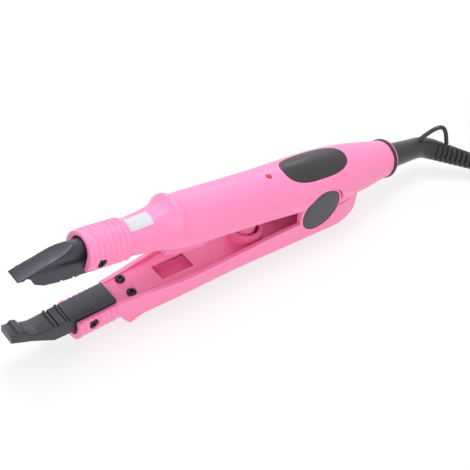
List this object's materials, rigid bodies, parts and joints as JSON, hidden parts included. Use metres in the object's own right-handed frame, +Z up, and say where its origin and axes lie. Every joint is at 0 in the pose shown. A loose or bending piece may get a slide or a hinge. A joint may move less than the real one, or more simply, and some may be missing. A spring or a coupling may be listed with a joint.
{
  "type": "hair extension fusion iron",
  "caption": "Hand-held heated plier: an upper arm with a grooved hot tip and a hinged lower lever whose jaw closes on it, on a mains lead tied in a hank.",
  "frame": {"origin": "bottom centre of the bounding box of the standing iron without its lead; the iron stands open on the finger stop and the heel of its lower lever", "axes": "+X runs from the jaws back to the lead, +Y to the user's left when the jaws point forward, +Z up from the table"},
  "size_m": [0.4137, 0.0605, 0.0683],
  "materials": {
    "pink_shell": "smooth injection moulded",
    "pink_inner": "smooth injection moulded",
    "charcoal_tip": "satin coated die casting",
    "insulator": "plain",
    "ceramic": "plain fired ceramic",
    "tinned_metal": "plain",
    "board": "plain",
    "components": "plain",
    "wire_white": "fibre sleeve",
    "wire_blue": "plain",
    "red_lens": "clear red",
    "plate_dark": "satin",
    "label_white": "satin film",
    "black_plastic": "satin",
    "clamp_plastic": "plain",
    "zinc_screw": "zinc plated",
    "black_screw": "black oxide",
    "brass_bush": "turned",
    "steel_pin": "ground",
    "grey_cap": "satin",
    "spring_steel": "plain wire",
    "black_rubber": "satin",
    "black_cord": "satin",
    "nickel_pin": "nickel plated"
  },
  "bodies": {
    "handle": {"upper_shell": "pink_shell", "lower_cover": "pink_inner", "heating_tip": "charcoal_tip", "tip_insulator": "insulator", "heater_element": "ceramic", "thermal_fuse": "tinned_metal", "control_board": "board", "board_components": "components", "heater_wires": "wire_white", "supply_wires": "wire_blue", "indicator_lens": "red_lens", "rating_plate": "plate_dark", "front_label": "label_white", "retaining_ring": "black_plastic", "cord_clamp": "clamp_plastic", "clamp_screws": "zinc_screw", "tip_screws": "black_screw", "cover_screws": "black_screw", "pivot_bushes": "brass_bush", "return_spring": "spring_steel", "cord_guard": "black_rubber", "hanging_loop": "black_rubber", "power_cord": "black_cord", "cord_hank": "black_cord", "cord_tail": "black_cord", "cord_tie": "black_rubber", "plug_body": "black_plastic", "plug_pins": "nickel_pin"},
    "lever": {"lever_shell": "pink_shell", "lever_liner": "pink_inner", "lower_jaw": "charcoal_tip", "jaw_screws": "black_screw", "jaw_side_screws": "black_screw", "pivot_pin": "steel_pin", "pivot_cap_left": "grey_cap", "pivot_cap_right": "grey_cap"}
  },
  "joints": [
    {"name": "lever_pivot", "type": "hinge", "parent": "handle", "child": "lever", "pos_m": [0.05932, 0, 0.02441], "axis": [0, 1, 0], "range_deg": [0, 11], "stiffness_Nm_per_rad": 1.2, "springref_deg": -20.05, "deforming": ["return_spring"]}
  ]
}
